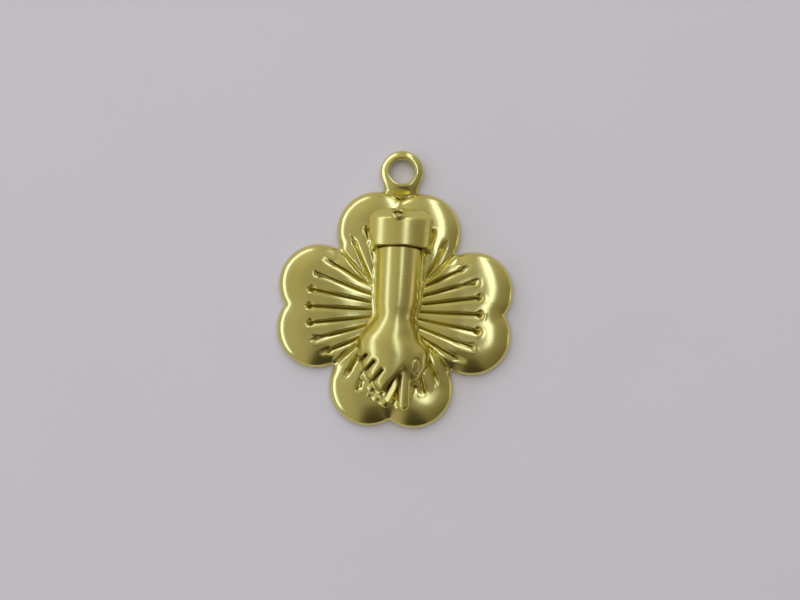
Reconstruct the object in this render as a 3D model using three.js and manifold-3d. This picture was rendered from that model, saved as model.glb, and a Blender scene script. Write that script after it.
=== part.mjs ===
// Clover charm: a pressed brass four-leaf clover, hollow behind, with a hanging eye let into its top
// notch and a figa hand (a fist with the thumb put through the fingers) soldered on its front. The
// hand's wrist ends in a spigot, which carries a cuff pinned by a tubular rivet.
//
// Millimetres. The charm lies on its back: +Z is its front, +Y points to the eye, +X to its right.
import * as THREE from "three";
import Module from "manifold-3d";
import { mergeVertices } from "three/addons/utils/BufferGeometryUtils.js";

// Clover outline: each leaf is a heart made of two round lobes
const LEAF_REACH = 12.7; // clover's centre to the tip of a leaf
const LEAF_WIDTH = 13.4; // across the two lobes of one leaf
const LOBE_RADIUS = 4.3;
const NOTCH_REACH = 9.0; // clover's centre to the bottom of the notch between two leaves
const NOTCH_FILLET = 0.15; // smallest round in a notch

// Clover sheet: a narrow flat rim, a domed shoulder and a flat top
const SHEET = 0.4; // sheet thickness
const RIM_FLANGE = 0.08; // flat rim outside the dome
const DOME_RISE = 1.4; // rim to flat top
const DOME_RUN = 2.5; // width of the domed shoulder
const DOME_SQUARENESS = 2.0; // 2 is a quarter ellipse, more is squarer
const WALL_SHARE = 0.8; // thickness of the dome's steep wall, in sheet thicknesses

// Flutes pressed into the clover's front, fanned out from behind the hand
const FLUTES_PER_LEAF = 8;
const FLUTE_WIDTH = 0.36;
const FLUTE_DEPTH = 0.24;
const FLUTE_START = 2.4; // centre to the flutes' inner ends
const FLUTE_REACH = 9.5; // centre to the flutes' outer ends
const FLUTE_INSET = 2.45; // least plain border between a flute and the rim
const NOTCH_LAND = 0.5; // plain border of the flutes that run into the notches
const FLUTE_LEAN = 0.65; // how far a flute's line passes from the clover's centre, at most
const FLUTE_SHARE = 0.55; // most of the pitch that a flute takes up where the flutes crowd

// Hanging eye
const EYE_HOLE = 2.8; // diameter
const EYE_WALL = 0.9; // width of the ring around the hole
const EYE_THICKNESS = 1.2;
const EYE_GAP = 0.33; // between the ring and the two lobes that it sits between
const EYE_FOOT_WIDTH = 3.5;
const SEAM_WIDTH = 0.2; // solder between the eye's foot and the clover's edge
const SEAM_CLEARANCE = 0.03;
const SEAM_PROUD = 0.1; // solder's height over the sheet

// Hand: forearm, wrist and back of the fist
const BED_THICKNESS = 0.15; // solder between the hand and the clover
const BED_MARGIN = 0.4; // solder showing around the hand's foot
const HAND_AXIS = 0.15; // the forearm's middle, to the right of the clover's centre
const CUFF_TO_TIP = 1.95; // from the cuff's end to the tip of the upper leaf
const WRIST_TO_TIP = 11.85; // from the wrist to the tip of the lower leaf
const FOREARM_WIDTH = 4.75;
const FOREARM_RISE = 2.75;
const WRIST_WIDTH = 4.5;
const WRIST_RISE = 2.55;
const BACK_LENGTH = 4.0; // wrist to the widest part of the fist
const BACK_WIDTH = 7.4;
const BACK_RISE = 3.1;
const BACK_SHIFT = -0.15; // the fist's middle, to the left of the forearm's
const KNUCKLE_RUN = 1.7; // length over which the fist rounds off below its widest part
const ARM_SQUARENESS = 2.2;

// Digits: the knuckle's place across the fist, as a share of half its width, and below the fist's widest
// line, with the digit's size and its lean to the left in degrees
const LITTLE_FINGER = { across: -0.62, below: 0.2, length: 2.75, width: 1.1, rise: 2.1, lean: 31 };
const RING_FINGER = { across: -0.37, below: 0.8, length: 3.1, width: 1.2, rise: 2.4, lean: 24 };
const MIDDLE_FINGER = { across: -0.02, below: 1.1, length: 3.8, width: 1.4, rise: 2.5, lean: 26 };
const INDEX_FINGER = { across: 0.73, below: -0.1, length: 3.6, width: 2.0, rise: 2.6, lean: 5 };
const THUMB = { across: 0.36, below: 1.0, length: 5.35, width: 1.2, rise: 1.7, lean: -2 };
const NAIL = { along: 0.85, width: 0.8, length: 1.2, depth: 0.2 }; // hollow on the index finger

// Cuff over the end of the forearm
const CUFF_GAP = 0.2; // open line between the cuff and the forearm's shoulder
const CUFF_LENGTH = 4.2;
const CUFF_WIDTH = 6.7; // at its sloping end
const CUFF_FOOT_WIDTH = 5.6; // at the forearm
const CUFF_LEAN = 0.08; // how far the joint with the forearm leans, for each millimetre of its height
const CUFF_RISE = 3.1;
const CUFF_BEVEL_RUN = 1.1; // sloping end of the cuff, measured along the arm
const CUFF_BEVEL_DROP = 1.4;
const CUFF_CORNER = 1.2; // how far the cuff's sides draw in along the slope
const SPIGOT_WIDTH = 3.6;
const SPIGOT_RISE = 1.9;
const SPIGOT_LENGTH = 3.0;
const SPIGOT_CLEARANCE = 0.1;

// Tubular rivet through the cuff's sloping end
const RIVET_ASIDE = -0.3; // the rivet's middle, to the left of the cuff's
const RIVET_DOWN = 0.44; // from the slope's upper edge down to the rivet's middle
const RIVET_HEAD = 1.55; // diameter
const RIVET_HEAD_HEIGHT = 0.36;
const RIVET_DIMPLE = 0.6; // diameter of the hollow in the head
const RIVET_SHANK = 0.56; // diameter
const RIVET_LENGTH = 2.0;
const RIVET_CLEARANCE = 0.08;

// Facets
const DOME_RINGS = [0.03, 0.12, 0.3, 0.6, 1];
const FLUTE_STEPS = [0, 0.12, 0.3, 0.6, 1];
const ROUND_SIDES = 40;
const ARCH_STEPS = 16;
const FIST_STEPS = 6;
const CUFF_CORNER_STEPS = [0.9, 0.6];
const DIGIT_SIDES = 12;
const DIGIT_END_STEPS = 4;

// Places that follow from the sizes
const QUARTER = Math.PI / 2;
const EIGHTH = Math.PI / 4;
const FLUTE_PITCH = QUARTER / FLUTES_PER_LEAF;
const LOBE_OUT = LEAF_REACH - LOBE_RADIUS;
const LOBE_ASIDE = LEAF_WIDTH / 2 - LOBE_RADIUS;
const LOBE_ANGLE = Math.atan2(LOBE_ASIDE, LOBE_OUT);
const LOBE_CENTRE = Math.hypot(LOBE_OUT, LOBE_ASIDE);
const FLOOR = SHEET + DOME_RISE; // the clover's flat top
const SEAT = FLOOR + BED_THICKNESS; // the back of the hand and of the cuff
const CUFF_TOP = LEAF_REACH - CUFF_TO_TIP;
const CUFF_FOOT = CUFF_TOP - CUFF_LENGTH;
const ARM_TOP = CUFF_FOOT - CUFF_GAP; // the forearm's shoulder under the cuff
const WRIST = WRIST_TO_TIP - LEAF_REACH;

const wasm = await Module();
wasm.setup();

const POLISHED_BRASS = { color: 0xb9aa4e, roughness: 0.22 };
const SATIN_BRASS = { color: 0xb0a049, roughness: 0.34 };
const BRASS_SOLDER = { color: 0xa8973f, roughness: 0.4 };

// A closed three.js geometry as a solid that can be joined and cut
function solidOf(geometry) {
  const bare = geometry.index ? geometry.toNonIndexed() : geometry.clone();
  bare.deleteAttribute("normal");
  bare.deleteAttribute("uv");
  const merged = mergeVertices(bare, 1e-4);
  const corners = merged.index.array;
  const triangles = [];
  for (let i = 0; i < corners.length; i += 3) {
    const [a, b, c] = [corners[i], corners[i + 1], corners[i + 2]];
    if (a !== b && b !== c && c !== a) triangles.push(a, b, c);
  }
  return new wasm.Manifold(
    new wasm.Mesh({
      numProp: 3,
      vertProperties: merged.attributes.position.array,
      triVerts: new Uint32Array(triangles),
    }),
  );
}

function geometryOf(solid) {
  const mesh = solid.getMesh();
  return new THREE.BufferGeometry()
    .setAttribute("position", new THREE.BufferAttribute(new Float32Array(mesh.vertProperties), 3))
    .setIndex(new THREE.BufferAttribute(new Uint32Array(mesh.triVerts), 1));
}

function piece(name, geometry, finish) {
  geometry.computeVertexNormals();
  const mesh = new THREE.Mesh(geometry, new THREE.MeshStandardMaterial({ ...finish, metalness: 1 }));
  mesh.name = name;
  return mesh;
}

// A solid block between two corners
function block(low, high) {
  const size = new THREE.Vector3().subVectors(high, low);
  const middle = new THREE.Vector3().addVectors(low, high).multiplyScalar(0.5);
  return solidOf(
    new THREE.BoxGeometry(size.x, size.y, size.z).translate(middle.x, middle.y, middle.z),
  );
}

// An upright round post between two heights
function post(x, y, radius, low, high) {
  const geometry = new THREE.CylinderGeometry(radius, radius, high - low, 3 * ROUND_SIDES);
  return solidOf(geometry.rotateX(QUARTER).translate(x, y, (low + high) / 2));
}

// Round at the bottom of a notch, on a line at some angle from the leaf's axis, tangent to the lobe
function notchRound(angle, radius) {
  const along = LOBE_CENTRE * Math.cos(angle - LOBE_ANGLE);
  const aside = LOBE_CENTRE * Math.sin(angle - LOBE_ANGLE);
  const reach = along + Math.sqrt((LOBE_RADIUS + radius) ** 2 - aside ** 2);
  const x = reach * Math.cos(angle);
  const y = reach * Math.sin(angle);
  const toRound = new THREE.Vector2(x - LOBE_OUT, y - LOBE_ASIDE);
  const tangent = toRound.clone().setLength(LOBE_RADIUS);
  const tangentAngle = Math.atan2(LOBE_ASIDE + tangent.y, LOBE_OUT + tangent.x);
  return { angle, radius, reach, x, y, toRound, tangentAngle };
}

// The round that brings the notch between two leaves to its stated depth
function leafNotchRadius() {
  const along = LOBE_CENTRE * Math.cos(EIGHTH - LOBE_ANGLE);
  const past = LOBE_RADIUS ** 2 - NOTCH_REACH ** 2 + 2 * NOTCH_REACH * along - LOBE_CENTRE ** 2;
  return Math.max(NOTCH_FILLET, past / (2 * (NOTCH_REACH - along - LOBE_RADIUS)));
}

const tipNotch = notchRound(0, NOTCH_FILLET);
const leafNotch = notchRound(EIGHTH, leafNotchRadius());
const TIP_NOTCH_REACH = tipNotch.reach - tipNotch.radius;

// Angle from the nearest leaf axis, from 0 to an eighth of a turn
function leafAngle(angle) {
  const fromAxis = angle - QUARTER * Math.round(angle / QUARTER);
  return Math.abs(fromAxis);
}

// Centre of the clover to its outline
function outlineRadius(angle) {
  const a = leafAngle(angle);
  for (const [notch, reached] of [
    [tipNotch, a < tipNotch.tangentAngle],
    [leafNotch, a > leafNotch.tangentAngle],
  ]) {
    if (reached) {
      const aside = notch.reach * Math.sin(a - notch.angle);
      return notch.reach * Math.cos(a - notch.angle) - Math.sqrt(notch.radius ** 2 - aside ** 2);
    }
  }
  const aside = LOBE_CENTRE * Math.sin(a - LOBE_ANGLE);
  return LOBE_CENTRE * Math.cos(a - LOBE_ANGLE) + Math.sqrt(LOBE_RADIUS ** 2 - aside ** 2);
}

// Shortest way from a point of the clover to its outline
function distanceFromRim(x, y) {
  const u = Math.max(Math.abs(x), Math.abs(y));
  const v = Math.min(Math.abs(x), Math.abs(y));
  const fromLobe = new THREE.Vector2(u - LOBE_OUT, v - LOBE_ASIDE);
  const facesLobe = tipNotch.toRound.cross(fromLobe) >= 0 && fromLobe.cross(leafNotch.toRound) >= 0;
  if (facesLobe) return LOBE_RADIUS - fromLobe.length();
  const toNotch = (notch) => Math.hypot(u - notch.x, v - notch.y) - notch.radius;
  return Math.min(toNotch(tipNotch), toNotch(leafNotch));
}

// Height of the dome over the rim, at a distance in from the rim
function domeHeight(inset) {
  const t = THREE.MathUtils.clamp((inset - RIM_FLANGE) / DOME_RUN, 0, 1);
  return DOME_RISE * (1 - (1 - t) ** DOME_SQUARENESS) ** (1 / DOME_SQUARENESS);
}

// Angle at which a flute's line, or the line between two flutes, crosses a radius
function fanAngle(angle, radius) {
  const offset = FLUTE_LEAN * Math.sin(4 * angle);
  return angle + Math.asin(offset / radius) - Math.asin(offset / outlineRadius(angle));
}

// A spoke of the clover's mesh runs from the rim to the hub along a flute's left edge, its bottom or its
// right edge, or along the middle of the land between two flutes
const SPOKES = [
  { edge: -1, depth: 0 },
  { edge: 0, depth: FLUTE_DEPTH },
  { edge: 1, depth: 0 },
  { land: true, depth: 0 },
];

// One spoke's points on the clover's front and on its back, from the rim inwards
function cloverSpoke(fluteAngle, { edge = 0, land = false, depth }) {
  const angle = land ? fluteAngle + FLUTE_PITCH / 2 : fluteAngle;
  const intoNotch = !land && Math.abs(leafAngle(angle) - EIGHTH) < FLUTE_PITCH / 4;
  const rim = outlineRadius(angle);
  const end = intoNotch ? rim - NOTCH_LAND : Math.min(FLUTE_REACH, rim - FLUTE_INSET);
  const polar = (radius, turn) => new THREE.Vector3(radius * Math.cos(turn), radius * Math.sin(turn), 0);
  const turnAt = (radius) => {
    const pitch = fanAngle(angle + FLUTE_PITCH / 2, radius) - fanAngle(angle - FLUTE_PITCH / 2, radius);
    const half = Math.min(Math.asin(FLUTE_WIDTH / 2 / radius), (FLUTE_SHARE * pitch) / 2);
    return fanAngle(angle, radius) + edge * half;
  };
  const at = (radius) => polar(radius, turnAt(radius));
  const inFromRim = (inset) => polar(outlineRadius(turnAt(rim)) - inset, turnAt(rim));
  const onFront = (p, sunk = 0) => p.setZ(SHEET + domeHeight(distanceFromRim(p.x, p.y)) - sunk);
  const onBack = (p) => p.setZ(domeHeight(distanceFromRim(p.x, p.y) - WALL_SHARE * SHEET));
  const bite = FLUTE_WIDTH / 2; // length of the sloping end of a flute
  const shoulder = RIM_FLANGE + WALL_SHARE * SHEET; // flat rim behind
  const front = [
    inFromRim(0).setZ(SHEET),
    inFromRim(RIM_FLANGE).setZ(SHEET),
    ...DOME_RINGS.map((share) => onFront(inFromRim(RIM_FLANGE).lerp(at(end), share))),
    ...FLUTE_STEPS.map((share) =>
      onFront(at(THREE.MathUtils.lerp(end - bite, FLUTE_START + bite, share)), depth),
    ),
    onFront(at(FLUTE_START)),
  ];
  const back = [
    inFromRim(0),
    inFromRim(shoulder),
    ...DOME_RINGS.map((share) => onBack(inFromRim(shoulder).lerp(at(rim - shoulder - DOME_RUN), share))),
    onBack(at(FLUTE_START)),
  ];
  return { front, back };
}

// The pressed clover, as one closed sheet
function cloverShell() {
  const positions = [];
  const indices = [];
  const add = (p) => positions.push(p.x, p.y, p.z) / 3 - 1;
  const quad = (a, b, c, d) => indices.push(a, b, c, a, c, d);
  const rows = [];
  for (let flute = 0; flute < 4 * FLUTES_PER_LEAF; flute++) {
    for (const place of SPOKES) {
      const { front, back } = cloverSpoke(flute * FLUTE_PITCH, place);
      rows.push({ front: front.map(add), back: back.map(add) });
    }
  }
  const frontHub = add(new THREE.Vector3(0, 0, FLOOR));
  const backHub = add(new THREE.Vector3(0, 0, DOME_RISE));
  rows.forEach(({ front, back }, i) => {
    const next = rows[(i + 1) % rows.length];
    for (let j = 0; j + 1 < front.length; j++) {
      quad(front[j], next.front[j], next.front[j + 1], front[j + 1]);
    }
    for (let j = 0; j + 1 < back.length; j++) {
      quad(back[j], back[j + 1], next.back[j + 1], next.back[j]);
    }
    quad(back[0], next.back[0], next.front[0], front[0]);
    indices.push(front.at(-1), next.front.at(-1), frontHub);
    indices.push(back.at(-1), backHub, next.back.at(-1));
  });
  return new THREE.BufferGeometry()
    .setAttribute("position", new THREE.Float32BufferAttribute(positions, 3))
    .setIndex(indices);
}

// The ring's section: flat behind, round in front
function eyeSection() {
  const hole = EYE_HOLE / 2;
  const middle = hole + EYE_WALL / 2;
  const points = [];
  const steps = ARCH_STEPS / 2;
  for (let i = 0; i <= steps; i++) {
    const turn = (Math.PI * i) / steps;
    const x = middle + (EYE_WALL / 2) * Math.cos(turn);
    points.push(new THREE.Vector2(x, (EYE_THICKNESS / 2) * (1 + Math.sin(turn))));
  }
  const corner = EYE_WALL / 4;
  points.push(new THREE.Vector2(hole, corner), new THREE.Vector2(hole + corner, 0));
  points.push(new THREE.Vector2(hole + EYE_WALL - corner, 0), new THREE.Vector2(hole + EYE_WALL, corner));
  points.push(points[0].clone());
  return points;
}

const EYE_RADIUS = EYE_HOLE / 2 + EYE_WALL;
const EYE_CENTRE = LOBE_OUT + Math.sqrt((LOBE_RADIUS + EYE_GAP + EYE_RADIUS) ** 2 - LOBE_ASIDE ** 2);

// The clover's top lobes, made larger by a gap, as upright posts
const topLobes = (gap, height) =>
  [-LOBE_ASIDE, LOBE_ASIDE].map((x) => post(x, LOBE_OUT, LOBE_RADIUS + gap, -SHEET, height));

// A flat wedge from the eye's ring down to a height over the clover's notch
function footWedge(notchGap, thickness) {
  const half = EYE_FOOT_WIDTH / 2;
  const tip = TIP_NOTCH_REACH + notchGap;
  const shape = new THREE.Shape([
    new THREE.Vector2(0, tip),
    new THREE.Vector2(half, tip),
    new THREE.Vector2(half, EYE_CENTRE),
    new THREE.Vector2(-half, EYE_CENTRE),
    new THREE.Vector2(-half, tip),
  ]);
  return solidOf(new THREE.ExtrudeGeometry(shape, { depth: thickness, bevelEnabled: false }));
}

// The eye: a ring with a flat foot that fits the clover's top notch
function hangingEye() {
  const ring = solidOf(
    new THREE.LatheGeometry(eyeSection(), ROUND_SIDES).rotateX(QUARTER).translate(0, EYE_CENTRE, 0),
  );
  let foot = footWedge(SEAM_WIDTH, SHEET);
  foot = foot.subtract(post(0, EYE_CENTRE, EYE_RADIUS - EYE_WALL / 2, -SHEET, 2 * SHEET));
  for (const lobe of topLobes(SEAM_WIDTH, 2 * SHEET)) foot = foot.subtract(lobe);
  return geometryOf(ring.add(foot));
}

// The solder that fills the line between the eye's foot and the clover
function eyeSeam() {
  const height = SHEET + SEAM_PROUD;
  const [left, right] = topLobes(SEAM_WIDTH - SEAM_CLEARANCE, 2 * height);
  let seam = footWedge(SEAM_CLEARANCE, height).intersect(left.add(right));
  seam = seam.subtract(post(0, EYE_CENTRE, EYE_RADIUS + SEAM_CLEARANCE, -SHEET, 2 * height));
  for (const lobe of topLobes(SEAM_CLEARANCE, 2 * height)) seam = seam.subtract(lobe);
  return geometryOf(seam);
}

// A loft of arched sections that stand on a flat base, each with its place along the arm and its lean
function archLoft(sections, base) {
  const positions = [];
  const indices = [];
  const wide = ARCH_STEPS + 1;
  for (const s of sections) {
    for (let i = 0; i <= ARCH_STEPS; i++) {
      const turn = (Math.PI * i) / ARCH_STEPS;
      const squared = (value) => Math.sign(value) * Math.abs(value) ** (2 / ARM_SQUARENESS);
      const x = s.middle + (s.width / 2) * squared(Math.cos(turn));
      const z = i % ARCH_STEPS ? base + s.rise * squared(Math.sin(turn)) : base;
      positions.push(x, s.y + s.lean * (z - base), z);
    }
  }
  const last = (sections.length - 1) * wide;
  for (let s = 0; s + 1 < sections.length; s++) {
    for (let i = 0; i < wide; i++) {
      const next = (i + 1) % wide;
      const [a, b] = [s * wide + i, s * wide + next];
      const [c, d] = [(s + 1) * wide + next, (s + 1) * wide + i];
      indices.push(a, c, d, a, b, c);
    }
  }
  for (let i = 1; i + 1 < wide; i++) {
    indices.push(0, i + 1, i, last, last + i, last + i + 1);
  }
  const geometry = new THREE.BufferGeometry()
    .setAttribute("position", new THREE.Float32BufferAttribute(positions, 3))
    .setIndex(indices);
  return solidOf(geometry);
}

// Sections of the forearm and the fist, from the cuff down, made larger by a margin
function armSections(margin) {
  const section = (y, width, rise, shift, shrink = 1, lean = 0) => ({
    y,
    lean,
    middle: HAND_AXIS + shift,
    width: (width + 2 * margin) * shrink,
    rise: rise * shrink,
  });
  const sections = [
    section(ARM_TOP + margin, FOREARM_WIDTH, FOREARM_RISE, 0, 1, CUFF_LEAN),
    section((ARM_TOP + WRIST) / 2, FOREARM_WIDTH, FOREARM_RISE, 0),
  ];
  for (let i = 0; i <= FIST_STEPS; i++) {
    const share = i / FIST_STEPS;
    const swell = THREE.MathUtils.smoothstep(share, 0, 1);
    sections.push(
      section(
        WRIST - share * BACK_LENGTH,
        THREE.MathUtils.lerp(WRIST_WIDTH, BACK_WIDTH, swell),
        THREE.MathUtils.lerp(WRIST_RISE, BACK_RISE, swell),
        swell * BACK_SHIFT,
      ),
    );
  }
  for (let i = 1; i < FIST_STEPS; i++) {
    const turn = (QUARTER * i) / FIST_STEPS;
    const y = WRIST - BACK_LENGTH - (KNUCKLE_RUN + margin) * Math.sin(turn);
    sections.push(section(y, BACK_WIDTH, BACK_RISE, BACK_SHIFT, Math.cos(turn)));
  }
  return sections;
}

// Puts a shape that runs down from the origin at a digit's knuckle, turned to the digit's lean
function ontoKnuckle(geometry, { across, below, lean }, height) {
  const x = HAND_AXIS + BACK_SHIFT + (across * BACK_WIDTH) / 2;
  const y = WRIST - BACK_LENGTH - below;
  return geometry.rotateZ(-THREE.MathUtils.degToRad(lean)).translate(x, y, height);
}

// A finger or thumb lying on the clover: a round-ended bar, arched in section, from knuckle to tip
function digit({ across, below, length, width, rise, lean }, margin, base) {
  const radius = width / 2 + margin;
  const bar = new THREE.CapsuleGeometry(radius, length - width, DIGIT_END_STEPS, DIGIT_SIDES, 1);
  bar.translate(0, -(length - width) / 2, 0).scale(1, 1, (rise + margin) / radius);
  return solidOf(ontoKnuckle(bar, { across, below, lean }, base));
}

// Forearm, fist and fingers standing on a flat base, made larger by a margin
function handForm(margin, base) {
  const reach = 2 * LEAF_REACH;
  const under = block(new THREE.Vector3(-reach, -reach, base - reach), new THREE.Vector3(reach, reach, base));
  const digits = [LITTLE_FINGER, RING_FINGER, MIDDLE_FINGER, INDEX_FINGER, THUMB];
  let form = archLoft(armSections(margin), base);
  for (const one of digits) form = form.add(digit(one, margin, base));
  return form.subtract(under);
}

// The forearm's spigot inside the cuff, made larger by a clearance
function spigot(clearance) {
  const at = (y) => ({
    y,
    lean: 0,
    middle: HAND_AXIS,
    width: SPIGOT_WIDTH + 2 * clearance,
    rise: SPIGOT_RISE + clearance,
  });
  return archLoft([at(ARM_TOP + SPIGOT_LENGTH + clearance), at(ARM_TOP - CUFF_GAP)], SEAT);
}

// The cuff's outer form, from its sloping end down to its foot, made larger by a margin. Along the slope
// its height falls evenly and its sides round off.
function cuffForm(margin, base) {
  const at = (y, slope) => ({
    y,
    lean: 0,
    middle: HAND_AXIS,
    width: CUFF_WIDTH + 2 * margin - 2 * CUFF_CORNER * (1 - Math.sqrt(1 - slope ** 2)),
    rise: CUFF_RISE - CUFF_BEVEL_DROP * slope,
  });
  const slopes = [1, ...CUFF_CORNER_STEPS, 0];
  const end = slopes.map((slope) => at(CUFF_TOP + margin - CUFF_BEVEL_RUN * (1 - slope), slope));
  const foot = { ...at(CUFF_FOOT - margin, 0), lean: CUFF_LEAN, width: CUFF_FOOT_WIDTH + 2 * margin };
  return archLoft([...end, foot], base);
}

// Turns a round piece made about +Y so that it stands square on the cuff's sloping end
function ontoBevel(geometry) {
  const slope = Math.atan2(CUFF_BEVEL_DROP, CUFF_BEVEL_RUN);
  const y = CUFF_TOP - CUFF_BEVEL_RUN + RIVET_DOWN * Math.cos(slope);
  const z = SEAT + CUFF_RISE - RIVET_DOWN * Math.sin(slope);
  return geometry.rotateX(QUARTER - slope).translate(HAND_AXIS + RIVET_ASIDE, y, z);
}

// The rivet's shank, or the hole for it
function rivetShank(clearance) {
  const radius = RIVET_SHANK / 2 + clearance;
  const length = RIVET_LENGTH + RIVET_HEAD_HEIGHT + clearance;
  const shank = new THREE.CylinderGeometry(radius, radius, length, ROUND_SIDES / 2);
  return solidOf(ontoBevel(shank.translate(0, RIVET_HEAD_HEIGHT - length / 2, 0)));
}

// Tubular rivet: a rolled rim around a hollow, on a plain shank
function cuffRivet() {
  const rim = RIVET_HEAD / 2;
  const dimple = RIVET_DIMPLE / 2;
  const shank = RIVET_SHANK / 2;
  const crown = (rim + dimple) / 2;
  const profile = [
    [0, -RIVET_LENGTH],
    [shank, -RIVET_LENGTH],
    [shank, RIVET_CLEARANCE],
    [rim, RIVET_CLEARANCE],
    [rim - (rim - crown) / 4, (3 * RIVET_HEAD_HEIGHT) / 4],
    [crown, RIVET_HEAD_HEIGHT],
    [dimple + (crown - dimple) / 4, (3 * RIVET_HEAD_HEIGHT) / 4],
    [dimple, RIVET_HEAD_HEIGHT / 2],
    [0, RIVET_HEAD_HEIGHT / 2],
  ].map(([radius, height]) => new THREE.Vector2(radius, height));
  return geometryOf(solidOf(ontoBevel(new THREE.LatheGeometry(profile, ROUND_SIDES / 2))));
}

function hand() {
  const nail = new THREE.SphereGeometry(NAIL.width / 2, DIGIT_SIDES, DIGIT_SIDES / 2);
  nail.scale(1, NAIL.length / NAIL.width, (2 * NAIL.depth) / NAIL.width).translate(0, -NAIL.along, 0);
  const hollow = solidOf(ontoKnuckle(nail, INDEX_FINGER, SEAT + INDEX_FINGER.rise));
  const form = handForm(0, SEAT).add(spigot(0));
  return geometryOf(form.subtract(hollow).subtract(rivetShank(RIVET_CLEARANCE)));
}

function cuff() {
  const socket = spigot(SPIGOT_CLEARANCE);
  return geometryOf(cuffForm(0, SEAT).subtract(socket).subtract(rivetShank(RIVET_CLEARANCE)));
}

// Solder under the hand and the cuff, showing as a narrow line around them
function solderBed() {
  const reach = 2 * LEAF_REACH;
  const slab = block(new THREE.Vector3(-reach, -reach, FLOOR), new THREE.Vector3(reach, reach, SEAT));
  const feet = handForm(BED_MARGIN, FLOOR).add(cuffForm(BED_MARGIN, FLOOR));
  return geometryOf(feet.intersect(slab));
}

const charm = new THREE.Group();
charm.name = "clover_charm";
charm.add(
  piece("clover_shell", cloverShell(), POLISHED_BRASS),
  piece("hanging_eye", hangingEye(), POLISHED_BRASS),
  piece("eye_solder_seam", eyeSeam(), BRASS_SOLDER),
  piece("hand_solder_bed", solderBed(), BRASS_SOLDER),
  piece("figa_hand", hand(), SATIN_BRASS),
  piece("cuff", cuff(), SATIN_BRASS),
  piece("cuff_rivet", cuffRivet(), SATIN_BRASS),
);
// The origin is under the middle of the charm's length, on the surface that it lies on
charm.position.y = -(EYE_CENTRE + EYE_RADIUS - LEAF_REACH) / 2;

export default charm;
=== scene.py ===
from math import atan2, cos, hypot, pi, radians, sin, sqrt

import bpy
import numpy as np
from mathutils import Euler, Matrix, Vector


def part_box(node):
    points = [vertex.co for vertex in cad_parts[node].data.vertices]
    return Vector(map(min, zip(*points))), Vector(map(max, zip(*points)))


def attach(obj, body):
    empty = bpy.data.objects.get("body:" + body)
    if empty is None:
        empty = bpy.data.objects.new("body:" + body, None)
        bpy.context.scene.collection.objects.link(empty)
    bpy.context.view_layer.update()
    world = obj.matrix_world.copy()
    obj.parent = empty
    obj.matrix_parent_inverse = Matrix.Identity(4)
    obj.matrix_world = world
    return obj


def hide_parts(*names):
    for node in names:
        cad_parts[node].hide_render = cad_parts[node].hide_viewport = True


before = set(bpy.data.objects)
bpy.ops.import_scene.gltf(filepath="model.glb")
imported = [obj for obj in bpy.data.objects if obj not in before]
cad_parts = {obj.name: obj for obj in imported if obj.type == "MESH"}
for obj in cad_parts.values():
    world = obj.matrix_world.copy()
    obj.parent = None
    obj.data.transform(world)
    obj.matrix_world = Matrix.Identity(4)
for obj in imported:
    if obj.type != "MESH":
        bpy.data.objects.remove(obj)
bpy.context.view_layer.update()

# Every shape is worked out in millimetres from the clover's centre, with z up from the table,
# and goes into the CAD frame when its mesh is made.
mm = 0.001
shellLow, shellHigh = (np.array(corner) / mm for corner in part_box("clover_shell"))
cloverCentre = (shellLow + shellHigh) / 2 * (1, 1, 0)


def nodeBox(node):
    return [np.array(corner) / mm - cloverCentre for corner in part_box(node)]


sheetTop = shellHigh[2]
seat = nodeBox("figa_hand")[0][2]  # the hand's flat back
cuffLow, cuffHigh = nodeBox("cuff")
handAxis = (cuffLow[0] + cuffHigh[0]) / 2
rivetAxis = (nodeBox("cuff_rivet")[0][0] + nodeBox("cuff_rivet")[1][0]) / 2
eyeLow, eyeHigh = nodeBox("hanging_eye")
print("frame read: clover", np.round(shellHigh - shellLow, 2), "mm")


# Node trees written as arithmetic
class Field:
    def __init__(self, tree, socket):
        self.tree, self.socket = tree, socket

    def __add__(self, other):
        return fieldMath("ADD", self, other)

    def __radd__(self, other):
        return fieldMath("ADD", other, self)

    def __sub__(self, other):
        return fieldMath("SUBTRACT", self, other)

    def __rsub__(self, other):
        return fieldMath("SUBTRACT", other, self)

    def __mul__(self, other):
        return fieldMath("MULTIPLY", self, other)

    def __rmul__(self, other):
        return fieldMath("MULTIPLY", other, self)

    def __truediv__(self, other):
        return fieldMath("DIVIDE", self, other)

    def __rtruediv__(self, other):
        return fieldMath("DIVIDE", other, self)

    def __pow__(self, other):
        return fieldMath("POWER", self, other)

    def __abs__(self):
        return fieldMath("ABSOLUTE", self)


def feed(tree, socket, value):
    if isinstance(value, Field):
        tree.links.new(value.socket, socket)
    elif isinstance(value, bpy.types.NodeSocket):
        tree.links.new(value, socket)
    else:
        socket.default_value = value


def treeNode(tree, kind, **inputs):
    node = tree.nodes.new(kind)
    for name, value in inputs.items():
        feed(tree, node.inputs[name.replace("_", " ")], value)
    return node


def fieldMath(operation, *terms):
    tree = next(term.tree for term in terms if isinstance(term, Field))
    node = tree.nodes.new("ShaderNodeMath")
    node.operation = operation
    for socket, term in zip(node.inputs, terms):
        feed(tree, socket, term)
    return Field(tree, node.outputs["Value"])


def fieldRoot(value):
    return fieldMath("SQRT", fieldMath("MAXIMUM", value, 0.0))


def fieldUnit(value):
    return fieldMath("MINIMUM", fieldMath("MAXIMUM", value, 0.0), 1.0)


def fieldRamp(value, start, end):
    share = fieldUnit((value - start) / (end - start))
    return share * share * (3.0 - 2.0 * share)


def fieldBell(value):
    inside = fieldUnit(value)
    return (1.0 - inside * inside) ** 2.0


def fieldMix(low, high, share):
    return low + (high - low) * share


# Smooth shapes given by a distance, negative inside, and the skin drawn round them
def join(first, second, blend):
    share = np.clip(0.5 + 0.5 * (second - first) / blend, 0, 1)
    return second + (first - second) * share - blend * share * (1 - share)


def overlap(first, second, blend):
    return -join(-first, -second, blend)


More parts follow.
